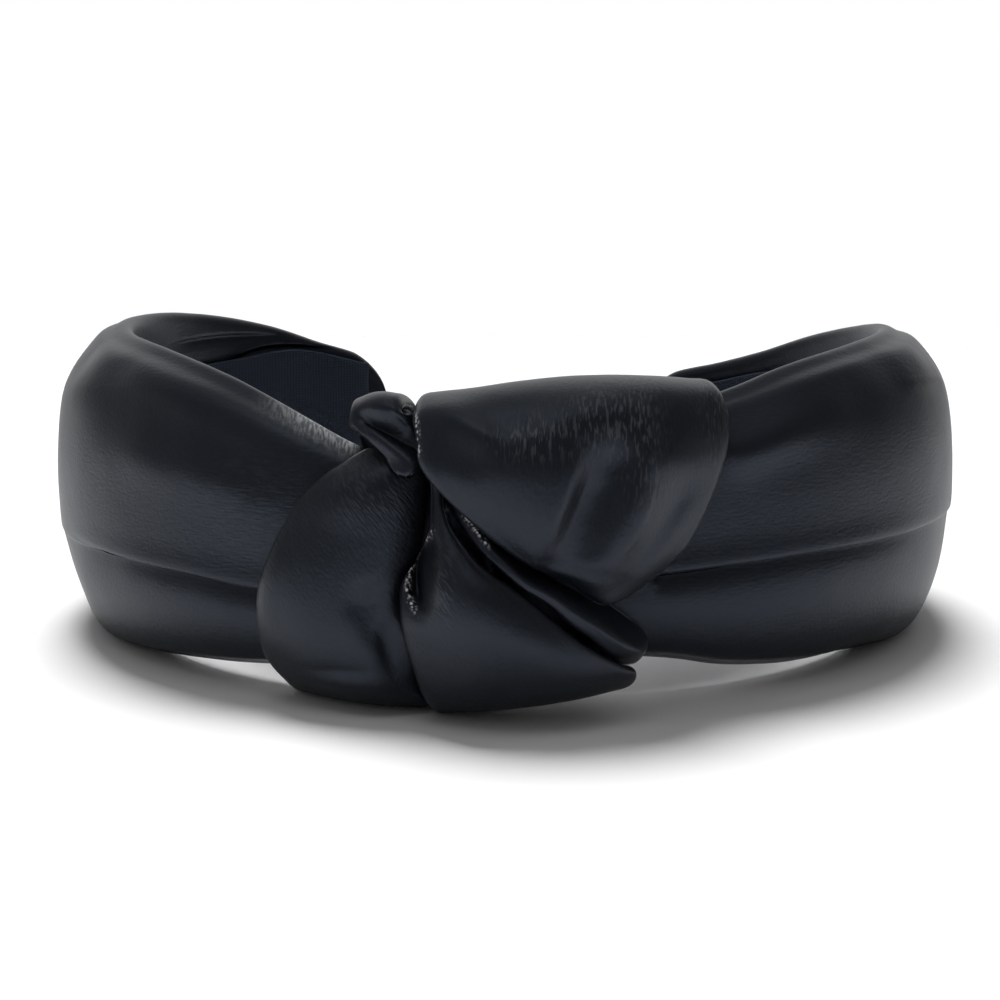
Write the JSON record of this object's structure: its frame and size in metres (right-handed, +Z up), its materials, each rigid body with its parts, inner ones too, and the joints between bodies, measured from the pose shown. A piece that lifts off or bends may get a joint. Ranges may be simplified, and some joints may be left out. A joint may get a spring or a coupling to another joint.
{
  "type": "top knot headband",
  "caption": "Wide padded headband of soft black leather cloth with a twisted top knot at the front, open at the back, lined with dull cloth.",
  "frame": {"origin": "on the surface that the headband lies on, below the middle of its box", "axes": "+X from the left arm to the right arm, +Y from the knot to the open back, +Z up"},
  "size_m": [0.1482, 0.1346, 0.0495],
  "materials": {
    "leather": "soft satin with a fine grain",
    "lining": "dull fine weave"
  },
  "bodies": {
    "root": {"left_sleeve": "leather", "right_sleeve": "leather", "lining": "lining", "knot_left_turn": "leather", "knot_top_lobe": "leather", "knot_upper_turn": "leather", "knot_pleat": "leather", "knot_lower_turn": "leather"}
  },
  "joints": []
}
